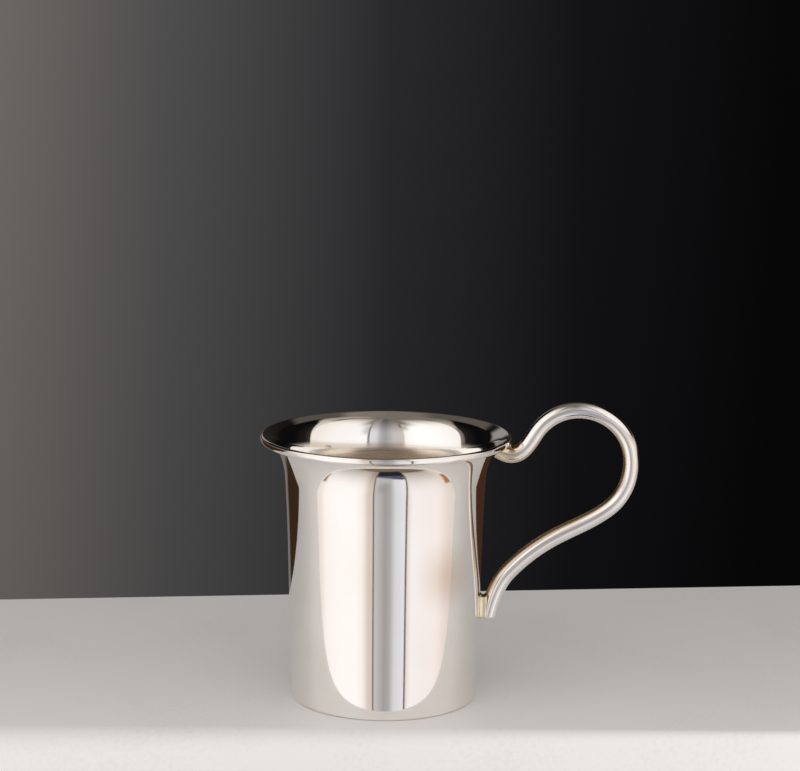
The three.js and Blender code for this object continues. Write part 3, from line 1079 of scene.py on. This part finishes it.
# %% [markdown]
# To the left and right of the cloth one looks past it into the dark studio. Each opening is
# black, reaches well up above the horizon with a rounded upper corner at the cloth, and runs on
# round behind the cup. Raising the distances to a power above 2 squares an ellipse off. Its lower
# edge sinks towards the back. A few dim things show in the openings: grey wall high up at the
# back, the lit edge of the cloth on the left, grey shapes at the back left and brown floor at the
# back right.

# %% Dark openings at the sides
OPENING_SQUARENESS = 3.0
# Each angle of the opening, with the opening's middle and edge in it
OPENING_SPANS = ((off_front, 134.0, 98.5), (rise, 8.0, 55.0))
LOWER_EDGE_SINKS = 0.2
# Where the opening starts to show and is fully open: within its round, and above its lower edge
ROUND_EDGE = (1.1, 0.9)
LOWER_EDGE = (29.5, 37.5)
far_out = 0.0
for angle, middle, edge in OPENING_SPANS:
    distance = add_node(
        sky, "MapRange", {"Value": angle, "From Min": middle, "From Max": edge}, clamp=False
    )
    for operation, other in (("MAXIMUM", 0.0), ("POWER", OPENING_SQUARENESS), ("ADD", far_out)):
        distance = add_node(sky, "Math", {0: distance, 1: other}, operation=operation)
    far_out = distance
lower_edge = add_node(
    sky, "Math", {0: off_front, 1: LOWER_EDGE_SINKS, 2: rise}, operation="MULTIPLY_ADD"
)
opening = 1.0
for value, (shut, open_at) in ((far_out, ROUND_EDGE), (lower_edge, LOWER_EDGE)):
    inside_edge = add_node(
        sky, "MapRange", {"Value": value, "From Min": shut, "From Max": open_at},
        interpolation_type="SMOOTHSTEP",
    )
    opening = add_node(sky, "Math", {0: opening, 1: inside_edge}, operation="MULTIPLY")
dark = add_node(
    sky, "ValToRGB", {"Fac": off_front_share},
    stops=[
        (0.1, "3A3532"), (0.2, "1E1B1B"), (0.4, "0C0A0B"), (0.7, "0E0C0C"), (1.0, "2C2825"),
    ],
)
studio = add_node(sky, "Mix", {"Factor": opening, "A": studio, "B": dark}, data_type="RGBA")
studio = hang_all(studio, (
    # Grey wall, high up at the back
    ("59534E", (-182, -149), (31, 62), (3, 3)),
    ("544E49", (149, 182), (39, 62), (3, 3)),
    # The cloth's left edge, lit from behind
    ("7C7068", (-104, -98.5), (14, 44), (1.5, 5)),
    # Grey shapes at the back left, one low and one at eye level
    ("787370", (-172, -154), (-40, -4), (5, 4)),
    ("928E8A", (-176, -154), (9, 23), (4, 3)),
    # Brown floor at the back right
    ("43291B", (130, 170), (-40, -6), (7, 5)),
))
print("openings:", len(sky.nodes), "nodes")

# %% [markdown]
# Between the two sides of the cloth is the gap for the lens. It is greyer, has a dark line at
# each edge, and ends low down in something navy. High up the two sides draw apart and the gap
# widens into the ceiling. Two brown patches of floor show past the lower corners of the cloth.

# %% The gap for the lens
gap_tones = add_node(
    sky, "ValToRGB", {"Fac": bearing_share},
    stops=[
        (0.42, "CAC3BF"), (0.45, "C4C1C1"), (0.5, "A4A1A4"), (0.53, "AFADB0"), (0.56, "DADADF"),
        (0.62, "EAE9EF"),
    ],
)
gap_fade = add_node(
    sky, "ValToRGB", {"Fac": height_share},
    stops=[
        (0.5, "FFFFFF"), (0.545, "CFCAC6"), (0.57, "D8D4D0"), (0.605, "FFFFFF"), (0.7, "FFFFFF"),
        (0.75, "E8E5E2"), (0.783, "D6D2CE"), (0.817, "C4C0BC"), (0.86, "ACA8A3"),
        (0.9, "9A9691"), (1.0, "827F7B"),
    ],
)
gap_cloth, shaded_cloth = (
    add_node(
        sky, "Mix", {"Factor": 1.0, "A": tone, "B": shade}, data_type="RGBA", blend_type="MULTIPLY"
    )
    for tone, shade in ((gap_tones, gap_fade), (cloth, "E0DBD7"))
)
studio = hang_all(studio, (
    # Low down, the outer parts of the cloth are a little dimmer
    ("EEE6E0", (-99, -78), (-66, 6), (5, 9)),
    ("E4D9D2", (74, 99), (-66, 6), (12, 9)),
    # The gap widens into the ceiling, with a shadow on the cloth at each side
    ("746F6A", (-38, 34), (54, 95), (14, 8)),
    ("CFC9C3", (18, 29), (32, 58), (6, 6)),
    ("BDB5AD", (-29, -17), (42, 58), (5, 5)),
    # Its upper part, and the dark line at each of its edges
    (gap_cloth, (-22.5, 12), (8, 84), (1.8, 2)),
    (gap_cloth, (-10, 22.5), (8, 84), (1.2, 2)),
    ("66625E", (-21.2, -18.8), (48, 61), (1.5, 4)),
    ("8E8884", (19.6, 22.4), (5, 66), (0.8, 4)),
    # Below the horizon the cloth beside it is shaded, down to something dark
    (shaded_cloth, (-23, 28), (-67, 6), (5, 3)),
    ("24252C", (-13, 29), (-72, -55), (2.5, 3)),
    # Its lower part leans, inside dark edges
    ("6C645E", (-14.4, 23.9), (-56, 8), (0.8, 1), (0, 0.1, 0, 0)),
    (gap_cloth, (-12.7, 21.8), (-54, 9), (0.6, 1.5), (0, 0.1, -0.15, 0)),
    # Something navy at its foot, and two greys above that
    ("4E5468", (-14, 24.5), (-59, -53.5), (0.8, 1.5), (0, 0, 0, -0.15)),
    ("BCBABD", (-9, 9), (-52.5, -44), (4, 5)),
    ("9E9C9F", (-8, 3), (-40, -28), (7, 7)),
    # Brown floor past the lower corners of the cloth
    ("9A7452", (-84, -77), (-48, -33), (2, 2)),
    ("B0784C", (77, 86), (-48, -32), (2, 2)),
))
print("studio:", len(sky.nodes), "nodes")

# %% [markdown]
# The backdrop behind the cup is dark card, lit only a little from the left, so it falls from grey
# to near black across the picture. It is a gradient over the bearing, kept low all the way round,
# and a little lighter towards the top.

# %% Backdrop
BACKDROP_REACH = math.sin(math.radians(20))
level = add_node(sky, "VectorMath", {0: direction, 1: (1, 1, 0)}, operation="MULTIPLY")
heading = add_node(sky, "VectorMath", {0: level}, operation="NORMALIZE")
sideways = add_node(sky, "SeparateXYZ", {"Vector": heading}, output="X")
backdrop_share = add_node(
    sky, "MapRange", {"Value": sideways, "From Min": -BACKDROP_REACH, "From Max": BACKDROP_REACH}
)
backdrop = add_node(
    sky, "ValToRGB", {"Fac": backdrop_share},
    stops=[
        (0.0, "7A7674"), (0.26, "66625F"), (0.36, "4B4A4A"), (0.5, "272629"), (0.62, "121215"),
        (0.74, "070707"), (1.0, "09090B"),
    ],
)
lighter_above = add_node(
    sky, "MapRange",
    {"Value": rise, "From Min": -15.0, "From Max": 0.0, "To Min": 0.86, "To Max": 1.14},
)
backdrop = add_node(sky, "VectorMath", {0: backdrop, 3: lighter_above}, operation="SCALE")
print("backdrop spans", round(2 * math.degrees(math.asin(BACKDROP_REACH))), "degrees")

# %% Who sees what
FILL = "BAB8B7"
seen = FILL
# A later ray takes the place of an earlier one, so the camera comes last
for ray, view in (("Is Glossy Ray", studio), ("Is Camera Ray", backdrop)):
    asked = add_node(sky, "LightPath", output=ray)
    seen = add_node(sky, "Mix", {"Factor": asked, "A": seen, "B": view}, data_type="RGBA")
background = add_node(sky, "Background", {"Color": seen})
add_node(sky, "OutputWorld", {"Surface": background})
print("world nodes:", len(sky.nodes))

# %% [markdown]
# The matt plinth can't see the painted cloth, so two low lamps stand in for it and a narrow strip
# lights the plinth's front. They are hidden from the camera and from mirror rays, or each would
# show as a white square, in the silver or beside it.

# %% Lamps
def soft_lamp(name, place, aim, size, watts, colour):
    """A flat lamp that lights only matt surfaces."""
    light = bpy.data.lights.new(name, "AREA")
    light.shape = "RECTANGLE"
    light.size, light.size_y = (side * MM for side in size)
    light.energy = watts
    light.color = linear(colour)[:3]
    lamp = bpy.data.objects.new(name, light)
    lamp.location = Vector(place) * MM
    lamp.rotation_euler = (Vector(aim) - Vector(place)).to_track_quat("-Z", "Y").to_euler()
    lamp.visible_glossy = False
    lamp.visible_camera = False
    scene.collection.objects.link(lamp)
    print(name, watts, "W")


soft_lamp("left_lamp", (-340, -300, -130), (0, 0, -20), (400, 200), 0.58, "FFFDFC")
soft_lamp("right_lamp", (340, -300, -100), (0, 0, -20), (400, 200), 0.64, "FFFCFB")
soft_lamp("front_strip", (0, -90, 100), (0, 0, -10), (1000, 40), 0.17, "FFFFFF")

# %% View settings
scene.view_settings.view_transform = "Standard"
